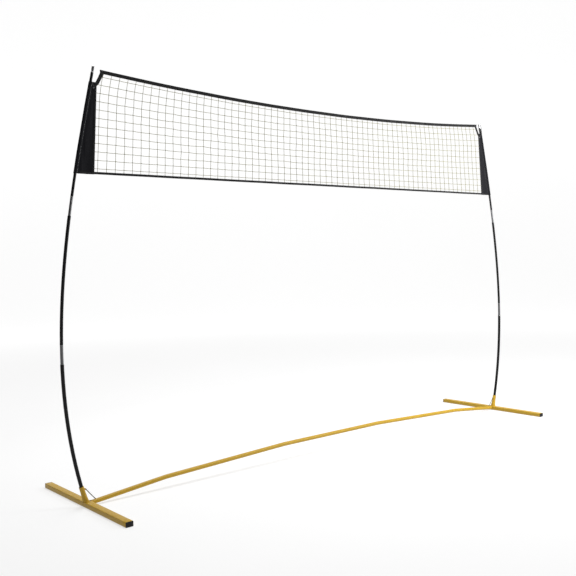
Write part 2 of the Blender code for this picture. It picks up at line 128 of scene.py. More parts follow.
# The panels. The root is where the flat part leaves the sleeve, the tip is its edge at the net.
ROOT_IN = 0.0128  # from the pole's middle line
TIP_OUT = 0.0065  # from the net's edge
SLEEVE_SEAM = 0.0150  # from the pole's middle line to the stitches
SLEEVE = 0.0096
SLEEVE_BORE = 0.0083
NECK = math.radians(28)  # half the angle that the flat part takes up on the sleeve
FLAT_STEPS = 26
CLOTH_HALF = 0.00075
HEM, HEM_HALF = 0.011, 0.0005  # depth, and what it adds to each face

GROMMET_AT = (1.6788, 2.208)
GROMMET_HOLE = 0.0044  # in the cloth
LOOP_RADIUS = 0.0015
NOCK = 0.010  # depth of the slot in a pole's tip

# The base
FOOT_CORNER, FOOT_WALL = 0.0032, 0.002
CAP_PLATE = 0.004  # how far an end cap stands out of the foot
STAY_RADIUS = 0.0025
STAY_INSET = 0.0016  # from the corners of the CAD rod's box to its ends' middles
FLARE_WELD, FLARE_BEAD = 0.0182, 0.0017  # radius of the ring, and of its bead
BAR_WELD, BAR_BEAD = (0.0128, 0.0124), 0.0013
BARE_RADII = {"lower": 0.00875, "upper": 0.0075}  # of the ferrules, between two sections
BARE_FROM, BARE_TO = 0.0605, 0.0612  # from the ferrule's foot and from its top

# The camera stands in front and to the left, a little below the middle of the net.
CAMERA_AT = (-3.640, -3.880, 1.287)
HEADING, PITCH, ROLL = 40.27, -2.22, -1.435  # degrees: from +Y towards +X, up, and tilt
LENS = 49.54


# Materials


class Nodes:
    """A short way to write a material's nodes."""

    def __init__(self, name, **settings):
        self.material = bpy.data.materials.new(name)
        self.material.use_nodes = True
        self.tree = self.material.node_tree
        self.shader = self.tree.nodes["Principled BSDF"]
        for socket, value in settings.items():
            self.shader.inputs[socket.replace("_", " ")].default_value = value

    def add(self, kind, values=None, **settings):
        made = self.tree.nodes.new(kind)
        for name, value in settings.items():
            setattr(made, name, value)
        for socket, value in (values or {}).items():
            if isinstance(value, bpy.types.NodeSocket):
                self.tree.links.new(value, made.inputs[socket])
            else:
                made.inputs[socket].default_value = value
        return made

    def place(self, scale=(1, 1, 1), turn=(0, 0, 0)):
        """Object coordinates, scaled and turned."""
        source = self.add("ShaderNodeTexCoord").outputs["Object"]
        values = {"Vector": source, "Scale": scale, "Rotation": turn}
        return self.add("ShaderNodeMapping", values).outputs["Vector"]

    def noise(self, scale, detail=3.0, stretch=(1, 1, 1)):
        values = {"Vector": self.place(stretch), "Scale": scale, "Detail": detail}
        return self.add("ShaderNodeTexNoise", values).outputs["Fac"]

    def wave(self, scale, along, turn=(0, 0, 0), distortion=0.0):
        values = {"Vector": self.place(turn=turn), "Scale": scale, "Distortion": distortion}
        made = self.add("ShaderNodeTexWave", values, bands_direction=along)
        return made.outputs["Fac"]

    def maths(self, operation, first, second):
        return self.add("ShaderNodeMath", {0: first, 1: second}, operation=operation).outputs[0]

    def spread(self, factor, low, high, start=0.0, end=1.0):
        """factor from start to end, taken to low to high."""
        values = {"Value": factor, "From Min": start, "From Max": end, "To Min": low, "To Max": high}
        return self.add("ShaderNodeMapRange", values).outputs["Result"]

    def blend(self, factor, first, second):
        made = self.add("ShaderNodeMix", {"Factor": factor}, data_type="RGBA")
        for socket, colour in ((made.inputs[6], first), (made.inputs[7], second)):
            if isinstance(colour, bpy.types.NodeSocket):
                self.tree.links.new(colour, socket)
            else:
                socket.default_value = (*colour, 1)
        return made.outputs[2]

    def link(self, output, socket):
        self.tree.links.new(output, self.shader.inputs[socket])

    def bump(self, height, strength, distance):
        values = {"Height": height, "Strength": strength, "Distance": distance}
        self.link(self.add("ShaderNodeBump", values).outputs["Normal"], "Normal")


def yellow_paint():
    """Powder coat: a fine orange peel, faint cloudiness, and dust low on the feet."""
    made = Nodes("yellow_powder_coat", Specular_IOR_Level=0.22)
    cloudy = made.noise(14, 4)
    colour = made.blend(cloudy, (0.435, 0.265, 0.019), (0.50, 0.31, 0.029))
    specks = made.spread(made.noise(420, 2), 0, 1, 0.62, 0.72)
    colour = made.blend(made.maths("MULTIPLY", specks, 0.25), colour, (0.33, 0.195, 0.02))
    height = made.add("ShaderNodeSeparateXYZ", {"Vector": made.place()}).outputs["Z"]
    low = made.spread(height, 1, 0, 0.0, 0.012)
    dust = made.maths("MULTIPLY", low, made.spread(made.noise(60, 5), 0, 0.5, 0.35, 0.7))
    made.link(made.blend(dust, colour, (0.42, 0.36, 0.27)), "Base Color")
    made.link(made.spread(made.noise(35, 4), 0.33, 0.50), "Roughness")
    made.bump(made.noise(650, 2), 0.18, 0.0004)
    return made.material


def fibreglass():
    """Smooth black fibreglass with the faint slant of its wrapping."""
    made = Nodes("black_fibreglass", Specular_IOR_Level=0.16)
    wrap = made.wave(70, "DIAGONAL", distortion=0.6)
    made.link(made.blend(wrap, (0.0045, 0.0045, 0.005), (0.008, 0.008, 0.009)), "Base Color")
    made.link(made.spread(made.noise(90, 4), 0.28, 0.46), "Roughness")
    made.bump(made.maths("ADD", wrap, made.noise(300, 2)), 0.10, 0.0003)
    return made.material


def metal(name, colour, roughness, streaks):
    """Turned metal: fine rings around the piece, and a little variation."""
    made = Nodes(name, Metallic=1.0)
    rings = made.noise(streaks, 2, (0.08, 0.08, 1))
    darker = tuple(0.72 * c for c in colour)
    made.link(made.blend(made.noise(60, 4), darker, colour), "Base Color")
    made.link(made.spread(rings, roughness - 0.07, roughness + 0.12), "Roughness")
    made.bump(rings, 0.12, 0.0002)
    return made.material


def moulded_plastic():
    """Matt black plastic with a fine grain."""
    made = Nodes("black_moulded_plastic", Specular_IOR_Level=0.25)
    colour = made.blend(made.noise(80, 4), (0.005, 0.005, 0.005), (0.013, 0.013, 0.013))
    made.link(colour, "Base Color")
    made.link(made.spread(made.noise(200, 3), 0.42, 0.62), "Roughness")
    made.bump(made.noise(1400, 2), 0.25, 0.0002)
    return made.material


def panel_cloth():
    """Plain-woven nylon, black with a soft sheen along its folds."""
    made = Nodes("black_nylon_cloth", Specular_IOR_Level=0.08, Sheen_Weight=0.52, Sheen_Roughness=0.25)
    warp = made.wave(260, "X", distortion=0.4)
    weft = made.wave(260, "Z", distortion=0.4)
    weave = made.maths("MULTIPLY", warp, weft)
    faded = made.noise(9, 5, (1, 1, 0.35))
    colour = made.blend(faded, (0.0035, 0.0035, 0.0045), (0.0085, 0.0085, 0.0105))
    colour = made.blend(made.maths("MULTIPLY", weave, 0.5), colour, (0.015, 0.015, 0.018))
    made.link(colour, "Base Color")
    made.link(made.spread(made.noise(40, 3), 0.62, 0.85), "Roughness")
    made.bump(made.maths("ADD", weave, made.noise(70, 4)), 0.35, 0.0006)
    return made.material


def webbing():
    """Black webbing with a slanting rib."""
    made = Nodes("black_webbing", Specular_IOR_Level=0.12, Sheen_Weight=0.04)
    rib = made.wave(150, "DIAGONAL", distortion=0.3)
    cross = made.wave(240, "Z")
    weave = made.maths("ADD", made.maths("MULTIPLY", rib, 0.7), made.maths("MULTIPLY", cross, 0.3))
    colour = made.blend(weave, (0.0045, 0.0045, 0.005), (0.014, 0.014, 0.015))
    worn = made.spread(made.noise(12, 4), 0, 0.35)
    made.link(made.blend(worn, colour, (0.020, 0.0195, 0.019)), "Base Color")
    made.link(made.spread(made.noise(60, 3), 0.70, 0.92), "Roughness")
    made.bump(weave, 0.45, 0.0006)
    return made.material


def net_cord():
    """Twisted cord in a pale olive, a little darker where it has been handled."""
    made = Nodes("net_cord", Specular_IOR_Level=0.2)
    twist = made.wave(420, "DIAGONAL", distortion=0.5)
    tone = made.blend(made.noise(22, 5), (0.095, 0.088, 0.024), (0.165, 0.152, 0.048))
    colour = made.blend(made.maths("MULTIPLY", twist, 0.45), tone, (0.24, 0.225, 0.085))
    made.link(colour, "Base Color")
    made.link(made.spread(made.noise(120, 3), 0.65, 0.85), "Roughness")
    made.bump(twist, 0.6, 0.0005)
    return made.material


def thread():
    """Dark grey sewing thread."""
    made = Nodes("stitching_thread")
    colour = made.blend(made.noise(300, 3), (0.030, 0.030, 0.032), (0.085, 0.085, 0.088))
    made.link(colour, "Base Color")
    made.link(made.spread(made.noise(500, 2), 0.5, 0.75), "Roughness")
    made.bump(made.wave(900, "DIAGONAL"), 0.4, 0.0002)
    return made.material


def elastic():
    """Braided elastic: black with a fleck of grey."""
    made = Nodes("braided_elastic", Sheen_Weight=0.2)
    braid = made.maths("MULTIPLY", made.wave(330, "DIAGONAL"), made.wave(330, "DIAGONAL", (0, 1.57, 0)))
    made.link(made.blend(braid, (0.012, 0.012, 0.013), (0.075, 0.075, 0.078)), "Base Color")
    made.link(made.spread(made.noise(400, 2), 0.6, 0.85), "Roughness")
    made.bump(braid, 0.5, 0.0004)
    return made.material


LOOKS = {
    "paint": yellow_paint(),
    "pole": fibreglass(),
    "ferrule": metal("grey_anodised", (0.16, 0.16, 0.165), 0.40, 900),
    # bright aluminium: the pole tips' own metal, and the colour of the painted highlight rings at the
    # ferrules' ends
    "bright": metal("bright_aluminium", (0.62, 0.62, 0.63), 0.28, 1200),
    "steel": metal("stay_wire_steel", (0.16, 0.155, 0.13), 0.42, 700),
    "plastic": moulded_plastic(),
    "cloth": panel_cloth(),
    "webbing": webbing(),
    "cord": net_cord(),
    "thread": thread(),
    "grommet": metal("blackened_brass", (0.10, 0.10, 0.105), 0.36, 800),
    "elastic": elastic(),
}


# Meshes


class Shape:
    """Collects faces for one piece, each with one of the piece's looks."""

    def __init__(self, *looks):
        self.looks = looks
        self.points, self.faces, self.slots = [], [], []

    def face(self, corners, look):
        self.faces.append(corners)
        self.slots.append(look)

    def loft(self, rings, look=0, through=False, ends=False):
        """Faces between rings of points. through joins the last ring to the first."""
        start, count = len(self.points), len(rings[0])
        for ring in rings:
            self.points.extend(tuple(p) for p in ring)
        spans = len(rings) if through else len(rings) - 1
        for i in range(spans):
            low, high = start + i * count, start + ((i + 1) % len(rings)) * count
            for j in range(count):
                k = (j + 1) % count
                self.face((low + j, low + k, high + k, high + j), look)
        if ends:
            last = start + (len(rings) - 1) * count
            self.face(tuple(range(start, start + count))[::-1], look)
            self.face(tuple(range(last, last + count)), look)

    def build(self, name, sharp=38):
        mesh = bpy.data.meshes.new(name)
        mesh.from_pydata(self.points, [], self.faces)
        for look in self.looks:
            mesh.materials.append(LOOKS[look])
        mesh.polygons.foreach_set("material_index", self.slots)
        mesh.update()
        fix_outside(mesh)
        mesh.shade_smooth()
        mesh.set_sharp_from_angle(angle=math.radians(sharp))
        made = bpy.data.objects.new(name, mesh)
        bpy.context.scene.collection.objects.link(made)
        return made


def fix_outside(mesh):
    """Turns every face outward."""
    builder = bmesh.new()
    builder.from_mesh(mesh)
    bmesh.ops.recalc_face_normals(builder, faces=builder.faces)
    builder.to_mesh(mesh)
    builder.free()


def circle(centre, along, radius, count, across=Vector((0, 1, 0))):
    """A ring of points around a direction."""
    up = along.cross(across).normalized()
    side = up.cross(along).normalized()
    turns = [2 * math.pi * k / count for k in range(count)]
    return [centre + radius * (math.cos(a) * up + math.sin(a) * side) for a in turns]


def smooth_loop(points, steps):
    """A closed curve through the points (Catmull-Rom), with that many steps between two of them."""
    count = len(points)
    made = []
    for i in range(count):
        a, b, c, d = (points[(i + k) % count] for k in (-1, 0, 1, 2))
        for k in range(steps):
            t = k / steps
            bend = (2 * a - 5 * b + 4 * c - d) * t**2 + (3 * b - a - 3 * c + d) * t**3
            made.append(0.5 * (2 * b + (c - a) * t + bend))
    return made


def tube(shape, path, radius, sides, look=0, closed=False):
    """A round cord or rod along a path."""
    rings = []
    previous = None
    for i, point in enumerate(path):
        before = path[i - 1] if i or closed else point
        after = path[(i + 1) % len(path)] if i + 1 < len(path) or closed else point
        along = (after - before).normalized()
        if previous is None:
            previous = Vector((0, 1, 0)) if abs(along.y) < 0.8 else Vector((1, 0, 0))
        previous = (previous - along * previous.dot(along)).normalized()
        other = along.cross(previous)
        turns = [2 * math.pi * k / sides for k in range(sides)]
        size = radius(i / max(1, len(path) - 1)) if callable(radius) else radius
        rings.append([point + size * (math.cos(a) * previous + math.sin(a) * other) for a in turns])
    shape.loft(rings, look, through=closed, ends=not closed)


STITCH_PITCH, STITCH_LENGTH, THREAD = 0.0045, 0.0031, 0.0007
STITCH_ENDS = ((-0.5, 0.25), (-0.25, 1.0), (0.25, 1.0), (0.5, 0.25))  # share of the length, thickness


def stitches(shape, path, outward):
    """A row of short thread stitches on a surface, along a path."""
    gone = 0.0
    for a, b in zip(path, path[1:]):
        run = (b - a).length
        along = (b - a) / max(run, 1e-9)
        beside = along.cross(outward)
        while gone < run:
            centre = a + along * gone
            rings = []
            for share, size in STITCH_ENDS:
                middle = centre + along * (share * STITCH_LENGTH)
                lift, width = outward * (THREAD * size * 0.8), beside * (THREAD * size * 0.6)
                sunk = middle - outward * (THREAD * 0.3)
                ring = [sunk - width, middle - width, middle + lift, middle + width, sunk + width]
                rings.append(ring)
            shape.loft(rings, ends=True)
            gone += STITCH_PITCH
        gone -= run


def sewing(name, rows):
    """Stitches as a piece of their own: rows of (path, outward direction)."""
    shape = Shape("thread")
    for path, outward in rows:
        stitches(shape, path, outward)
    piece = shape.build(name)
    return piece


SHARP_ABOVE = 40.0  # degrees between facets that stay a visible edge


def smooth_node(node):
    """Rounds the shading of a CAD node, whose facets are split, without touching its shape."""
    mesh = node.data
    mesh.polygons.foreach_set("use_smooth", [True] * len(mesh.polygons))
    places, groups = {}, []
    for vertex in mesh.vertices:
        key = tuple(round(c, 6) for c in vertex.co)
        groups.append(places.setdefault(key, len(places)))
    touching = [[] for _ in places]
    for face in mesh.polygons:
        for corner in face.vertices:
            touching[groups[corner]].append((face.normal.copy(), face.area))
    least = math.cos(math.radians(SHARP_ABOVE))
    normals = []
    for face in mesh.polygons:
        for corner in face.vertices:
            total = Vector()
            for normal, area in touching[groups[corner]]:
                if normal.dot(face.normal) > least:
                    total += normal * area
            normals.append(total.normalized())
    mesh.normals_split_custom_set(normals)


# Places on the poles and the net. x is measured from the middle, and side turns it left or right.


def pole_x(height):
    up = height / POLE_HEIGHT
    return SPAN / 2 + POLE_HEIGHT * (POLE_LEAN * up - POLE_BEND * (up**2 / 2 - up**3 / 6))


def pole_at(side, height):
    return Vector((side * pole_x(height), NET_Y, height))


def pole_along(side, height):
    return (pole_at(side, height + 0.01) - pole_at(side, height - 0.01)).normalized()


def edge_at(height):
    """The net's side edge below the panel's top."""
    share = (height - PANEL_LOW.z) / (PANEL_HIGH.z - PANEL_LOW.z)
    return EDGE_BOTTOM + (EDGE_TOP - EDGE_BOTTOM) * share


def top_centre(x):
    return TOP_MIDDLE + TOP_SAG * x * x


def side_reach(height):
    """How far the netting reaches at a height: along the side tape and up to the corner."""
    knee = PANEL_HIGH.z - 0.015
    if height <= knee:
        return edge_at(height)
    rest = min(1.0, (height - knee) / (CORNER[1] - knee))
    return edge_at(knee) + (CORNER[0] - edge_at(knee)) * rest


def row_share(row):
    """A level cord's share of the net's height. Row 0 and the last row are the tapes."""
    if row == 0:
        return 0.0
    if row == LEVEL_CORDS + 1:
        return 1.0
    pitch = (ROW_CELLS - 2 * ROW_MARGIN) / (LEVEL_CORDS - 1)
    return (ROW_MARGIN + pitch * (row - 1)) / ROW_CELLS


def net_point(column, row, edge=False):
    """A knot of the mesh, or the place where a level cord meets the side tape."""
    share = row_share(row)
    low = BOTTOM_HIGH.z - TUCK
    across = math.copysign(1.0, column) if edge else (column + CELL_SHIFT) / HALF_CELLS
    height = low + (top_centre(across * EDGE_TOP) - low) * share
    lean = min(1.0, max(0.0, (height - LEAN_FROM) / (TOP_HIGH.z - LEAN_FROM)))
    reach = side_reach(height) + TUCK if edge else edge_at(height) - CORNER_LEAN * lean**2
    x = across * reach
    top = top_centre(x) - TOP_TAPE / 2 + TUCK
    z = low + (top - low) * share
    loose = math.sin(math.pi * share) * (1 - abs(across) ** 6)
    wander = noise.noise_vector(Vector((column * 0.83, 3.1, row * 0.91)))
    slow = noise.noise(Vector((column * 0.11, 7.7, row * 0.16)))
    x += (0.0008 + 0.0036 * loose) * wander.x * (not edge)
    z += (0.0006 + 0.0034 * loose) * wander.z * (0 < share < 1)
    return Vector((x, NET_Y + loose * (0.012 * slow + 0.002 * wander.y), z))


def seam(number):
    """The nearest and furthest x of the cut at the end of a strip."""
    if number == len(CUTS) - 1:
        return CORNER[0] - 0.012, EDGE_BOTTOM
    cuts = (CUTS[number], -CUTS[number])
    reach = [abs(net_point(c, row).x) for row in range(LEVEL_CORDS + 2) for c in cuts]
    return min(reach) - SEAM_MARGIN, max(reach) + SEAM_MARGIN


def tape_cut(number):
    return sum(seam(number)) / 2


def strips():
    """(name, bodies, side, first column, last column, blend from x, blend to x) of each strip."""
    yield "middle", ("centre",), 1, -CUTS[0], CUTS[0], 0, 0
    for label, side in SIDES.items():
        for i in range(len(CUTS) - 1):
            names = [b if b == "centre" else f"{label}_{b}" for b in CHAIN[i : i + 2]]
            inner, outer = seam(i)[1], seam(i + 1)[0]
            yield f"{label}_{i + 1}", tuple(names), side, CUTS[i], CUTS[i + 1], inner, outer


def fasten(piece, bodies, side, inner, outer):
    """Lets a strip ride on one body; a strip between two bodies stays where it is, on no body."""
    if len(bodies) == 1:
        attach(piece, bodies[0])
    else:
        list(bodies)
        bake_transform(piece)


# The mesh of cords


def cord_ring(centre, upright):
    """A level ring on an upright cord, or an upright ring on a level one."""
    turns = [2 * math.pi * k / CORD_SIDES for k in range(CORD_SIDES)]
    if upright:
        return [centre + CORD_RADIUS * Vector((math.cos(a), math.sin(a), 0)) for a in turns]
    return [centre + CORD_RADIUS * Vector((0, math.cos(a), math.sin(a))) for a in turns]


def cord_line(knots, upright):
    """Points along a cord through its knots, slack between them."""
    line = []
    for a, b in zip(knots, knots[1:]):
        line += [a, a.lerp(b, 0.25), a.lerp(b, 0.5), a.lerp(b, 0.75)]
        give = noise.noise(a * 37.0)
        if upright:
            shift = Vector((0.0009 * give, 0.0006, 0))
        else:
            shift = Vector((0, 0.0006 * give, -CORD_SLACK))
        line[-3] += 0.75 * shift
        line[-2] += shift
        line[-1] += 0.75 * shift
    return [*line, knots[-1]]


def knot(shape, centre, lean):
    """A small netting knot: one cord wound about the other."""
    path = []
    for k in range(15):
        turn = 2 * math.pi * KNOT_TURNS * k / 14
        rise = KNOT_RISE * (k / 14 - 0.5)
        wound = (0.0016 * math.cos(turn) + lean * rise, 0.0015 * math.sin(turn), rise * 0.9)
        path.append(centre + Vector(wound))
    tube(shape, path, KNOT_CORD, 5)


def netting():
    rows = range(LEVEL_CORDS + 2)
    for name, bodies, side, first, last, inner, outer in strips():
        shape = Shape("cord")
        outermost = last > LAST_COLUMN
        columns = range(first, min(last, LAST_COLUMN) + 1)
        for row in rows[1:-1]:
            knots = [net_point(side * c, row) for c in columns]
            if outermost:
                knots.append(net_point(side * last, row, edge=True))
            shape.loft([cord_ring(p, False) for p in cord_line(knots, False)], ends=True)
        for column in columns if outermost else columns[:-1]:
            knots = [net_point(side * column, row) for row in rows]
            shape.loft([cord_ring(p, True) for p in cord_line(knots, True)], ends=True)
            for row in rows[1:-1]:
                knot(shape, knots[row], 1 if (row + column) % 2 else -1)
        piece = shape.build(f"netting_{name}")
        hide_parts("netting")
        fasten(piece, bodies, side, inner, outer)


# Tapes


def folded_section(width, bead):
    """The outline across a tape that is folded over a cord: (y, z) points around it."""
    half, leaf = width / 2, 0.0009
    top = half - bead
    around = [math.radians(-35 + 250 * k / 12) for k in range(13)]
    outline = [(bead * math.cos(a), top + bead * math.sin(a)) for a in around]
    lower = [(-leaf * 1.1, top - 1.7 * bead), (-leaf, 0.0), (-leaf, -half + 0.0008)]
    lower += [(-leaf * 0.4, -half), (leaf * 0.4, -half)]
    lower += [(leaf, -half + 0.0008), (leaf, 0.0), (leaf * 1.1, top - 1.7 * bead)]
    return outline + lower


def tape_piece(name, node, centre, width, bead, side, start, end, rows):
    """A stretch of tape from x = start to x = end, and its rows of stitches."""
    shape = Shape("webbing")
    steps = max(6, round(abs(end - start) / 0.012))
    section = folded_section(width, bead)

    def middle(x):
        ripple = noise.noise(Vector((x * 5.0, width * 90, 0.3)))
        swing = noise.noise(Vector((x * 3.1, width * 70, 4.2)))
        ends = min(1.0, max(0.0, (TOP_HIGH.x - abs(x)) / 0.15))
        return Vector((x, NET_Y + 0.0028 * swing * ends, centre(x) + 0.0008 * ripple * ends))

    spots = [middle(side * (start + (end - start) * k / steps)) for k in range(steps + 1)]
    rings = []
    for spot in spots:
        pucker = 0.00018 * noise.noise(Vector((spot.x * 160, 1.0, 2.0)))
        rings.append([spot + Vector((0, y + math.copysign(pucker, y), z)) for y, z in section])
    shape.loft(rings, ends=True)
    piece = shape.build(name)
    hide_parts(node)
    lines = []
    for height in rows:
        for face in (-1, 1):
            lift = Vector((0, face * TAPE_FACE, height))
            lines.append(([spot + lift for spot in spots], Vector((0, face, 0))))
    return piece, sewing(f"{name}_stitches", lines)


def tapes():
    bottom = (BOTTOM_LOW.z + BOTTOM_HIGH.z) / 2
    for name, bodies, side, _, last, inner, outer in strips():
        if name == "middle":
            start, end = -tape_cut(0), tape_cut(0)
            ends = (end, end)
        else:
            number = int(name[-1])
            start, end = tape_cut(number - 1), tape_cut(number)
            outermost = number == len(CUTS) - 1
            ends = (CORNER_OUT, EDGE_BOTTOM + 0.013) if outermost else (end, end)
        upper = (f"top_tape_{name}", "top_tape", top_centre, TOP_TAPE, TOP_BEAD)
        lower = (f"bottom_tape_{name}", "bottom_tape", lambda x: bottom, BOTTOM_TAPE, BOTTOM_BEAD)
        for facts, reach, rows in ((upper, ends[0], TOP_ROWS), (lower, ends[1], BOTTOM_ROWS)):
            for piece in tape_piece(*facts, side, start, reach, rows):
                fasten(piece, bodies, side, inner, outer)


EAR = [  # inner and outer edge of the side tape where it turns in to the upper corner
    ((1.6530, 2.2212), (1.6680, 2.2270)),
    ((1.6460, 2.2285), (1.6655, 2.2345)),
    ((1.6385, 2.2420), (1.6600, 2.2450)),
    ((1.6310, 2.2555), (1.6530, 2.2570)),
    ((1.6235, 2.2680), (1.6465, 2.2695)),
    ((1.6170, 2.2790), (1.6405, 2.2820)),
    ((1.6130, 2.2860), (1.6372, 2.2880)),
    ((1.6120, 2.2980), (1.6365, 2.2990)),
]
THIN_FROM = 2.270  # above this the side tape is pressed thin, inside the top tape


def side_tape(label, side):
    """Webbing along the side edge and on up to the corner, with a row of stitches near each edge."""
    rows = []
    for k in range(41):
        height = PANEL_LOW.z + (PANEL_HIGH.z - 0.020 - PANEL_LOW.z) * k / 40
        rows.append(((edge_at(height), height), (edge_at(height) + 0.010, height + 0.004 * k / 40)))
    rows += EAR
    shape = Shape("webbing")
    rings, lines = [], [[], []]
    for (ax, az), (bx, bz) in rows:
        half = SIDE_HALF if az < THIN_FROM else 0.0006
        a, b = Vector((side * ax, NET_Y, az)), Vector((side * bx, NET_Y, bz))
        ring = [a.lerp(b, s) + Vector((0, -half, 0)) for s in (0.06, 0.35, 0.65, 0.94)]
        ring += [b + Vector((0, -half * 0.4, 0)), b + Vector((0, half * 0.4, 0))]
        ring += [a.lerp(b, s) + Vector((0, half, 0)) for s in (0.94, 0.65, 0.35, 0.06)]
        ring += [a + Vector((0, half * 0.4, 0)), a + Vector((0, -half * 0.4, 0))]
        rings.append(ring)
        lines[0].append(a.lerp(b, 0.2))
        lines[1].append(a.lerp(b, 0.8))
    shape.loft(rings, ends=True)
    sewn = []
    for line in lines:
        for face in (-1, 1):
            way = Vector((0, face, 0))
            sewn.append(([p + way * SIDE_HALF for p in line[:-3]], way))
    piece = shape.build(f"{label}_side_webbing")
    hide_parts(f"{label}_side_tape")
    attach(piece, f"{label}_upper")
    corner_stitches(label, side, sewn)


def corner_stitches(label, side, sewn):
    """The side tape's rows, and a crossed box where it is sewn into the top tape."""
    left, right = 1.6155, 1.6345
    level = top_centre(1.625)
    low, high = level - 0.0075, level + 0.0035
    corners = [(left, low), (right, low), (right, high), (left, high), (left, low), (right, high)]
    corners += [(right, low), (left, high)]
    for face in (-1, 1):
        way = Vector((0, face, 0))
        path = [Vector((side * x, NET_Y + face * TAPE_FACE, z)) for x, z in corners]
        sewn.append((path, way))
    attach(sewing(f"{label}_side_stitches", sewn), f"{label}_upper")


BINDING_HALF = [(0.0009, 0), (0.0018, 0.0015), (0.0019, 0.0060), (0.0017, 0.0100)]
BINDING = [(-y, z) for y, z in BINDING_HALF[::-1]] + BINDING_HALF  # (y, z) around the hem


def panel_binding(label, side):
    """The bottom tape's end, folded over the panel's lower hem as far as the sleeve."""
    low = PANEL_LOW.z - 0.0006
    start, end = edge_at(low) + 0.006, pole_x(low) - SLEEVE_SEAM
    shape = Shape("webbing")
    rings, lines = [], ([], [])
    for k in range(25):
        x = start + (end - start) * k / 24
        sway = panel_folds(x, low + 0.004, end, start)
        rings.append([Vector((side * x, NET_Y + sway + y, low + z)) for y, z in BINDING])
        for line, face in zip(lines, (-1, 1)):
            line.append(Vector((side * x, NET_Y + sway + face * 0.00185, low + 0.0075)))
    shape.loft(rings, ends=True)
    piece = shape.build(f"{label}_panel_binding")
    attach(piece, f"{label}_upper")
    sewn = [(line, Vector((0, face, 0))) for line, face in zip(lines, (-1, 1))]
    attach(sewing(f"{label}_binding_stitches", sewn), f"{label}_upper")


# Fabric panels


def panel_folds(x, height, root, tip):
    """How far the flat part stands out of its plane: soft upright folds and a few creases."""
    across = (x - tip) / (root - tip)
    free = math.sin(math.pi * min(1, max(0, across))) ** 0.7
    up = (height - PANEL_LOW.z) / (PANEL_HIGH.z - PANEL_LOW.z)
    folds = 0.0030 * noise.noise(Vector((x * 34, 1.3, height * 3.2)))
    folds += 0.0014 * noise.noise(Vector((x * 90, 5.1, height * 9.0)))
    slack = 0.0024 * math.sin(5.2 * across + 2.4 * up) * (1 - 0.5 * up)
    eye_x, eye_z = GROMMET_AT
    away = math.hypot(x - eye_x, height - eye_z)
    angle = math.atan2(height - eye_z, x - eye_x)
    creases = 0.0009 * math.sin(7 * angle) * math.exp(-(((away - 0.022) / 0.016) ** 2))
    return free * (folds + slack) + creases * min(1, free * 3)


def side_panel(label, side):
    """Cloth with a sleeve around the pole, hemmed and stitched, out to the side webbing."""
    shape = Shape("cloth")
    bottom, top = PANEL_LOW.z, PANEL_HIGH.z
    heights = [bottom + (top - bottom) * k / 72 for k in range(73)]
    sleeve_turns = [NECK + (2 * math.pi - 2 * NECK) * k / 35 for k in range(36)]
    outer, inner = [], []

    def surface(x, height, face, root, tip):
        hem = HEM_HALF if min(height - bottom, top - height) < HEM else 0.0
        return NET_Y + panel_folds(x, height, root, tip) + face * (CLOTH_HALF + hem)

    for height in heights:
        centre, tip = pole_x(height), edge_at(height) + TIP_OUT
        root = centre - ROOT_IN
        ring, bore = [], []
        for a in sleeve_turns:
            rough = 0.0005 * noise.noise(Vector((math.cos(a) * 2, math.sin(a) * 2, height * 14)))
            radius = SLEEVE + rough
            ring.append((centre - radius * math.cos(a), NET_Y + radius * math.sin(a)))
            bore.append((centre - SLEEVE_BORE * math.cos(a), NET_Y + SLEEVE_BORE * math.sin(a)))
        flats = [root + (tip - root) * k / FLAT_STEPS for k in range(FLAT_STEPS + 1)]
        ring += [(x, surface(x, height, -1, root, tip)) for x in flats]
        ring += [(x, surface(x, height, 1, root, tip)) for x in reversed(flats)]
        spare = 2 * len(flats)
        for k in range(spare):
            a = 2 * math.pi - NECK + 2 * NECK * (k + 1) / (spare + 1)
            bore.append((centre - SLEEVE_BORE * math.cos(a), NET_Y + SLEEVE_BORE * math.sin(a)))
        outer.append([Vector((side * px, py, height)) for px, py in ring])
        inner.append([Vector((side * px, py, height)) for px, py in bore])
    shape.loft(outer + inner[::-1], through=True)

    sewn = []

    def sew(points):
        for face in (-1, 1):
            path = []
            for x, height in points:
                root, tip = pole_x(height) - ROOT_IN, edge_at(height) + TIP_OUT
                path.append(Vector((side * x, surface(x, height, face, root, tip), height)))
            sewn.append((path, Vector((0, face, 0))))

    sew([(pole_x(z) - SLEEVE_SEAM, z) for z in heights[2:-2]])
    level = top - 0.0085
    root, tip = pole_x(level) - 0.014, edge_at(level) + 0.011
    sew([(tip + (root - tip) * k / 30, level) for k in range(31)])
    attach(sewing(f"{label}_panel_stitches", sewn), f"{label}_upper")
    piece = shape.build(f"{label}_panel_cloth", sharp=50)
    punch_hole(piece, side)
    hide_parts(f"{label}_side_panel")
    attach(piece, f"{label}_upper")


def punch_hole(piece, side):
    """The hole that the grommet lines."""
    cutter = Shape("cloth")
    middle = Vector((side * GROMMET_AT[0], NET_Y, GROMMET_AT[1]))
    ends = [middle + Vector((0, y, 0)) for y in (-0.012, 0.012)]
    rings = [circle(p, Vector((0, 1, 0)), GROMMET_HOLE, 32, Vector((0, 0, 1))) for p in ends]
    cutter.loft(rings, ends=True)
    tool = cutter.build("hole_cutter")
    knife = piece.modifiers.new("hole", "BOOLEAN")
    knife.operation = "DIFFERENCE"
    knife.solver = "EXACT"
    knife.object = tool
    seen = piece.evaluated_get(bpy.context.evaluated_depsgraph_get())
    cut = bpy.data.meshes.new_from_object(seen)
    piece.modifiers.clear()
    piece.data = cut
    bpy.data.objects.remove(tool)


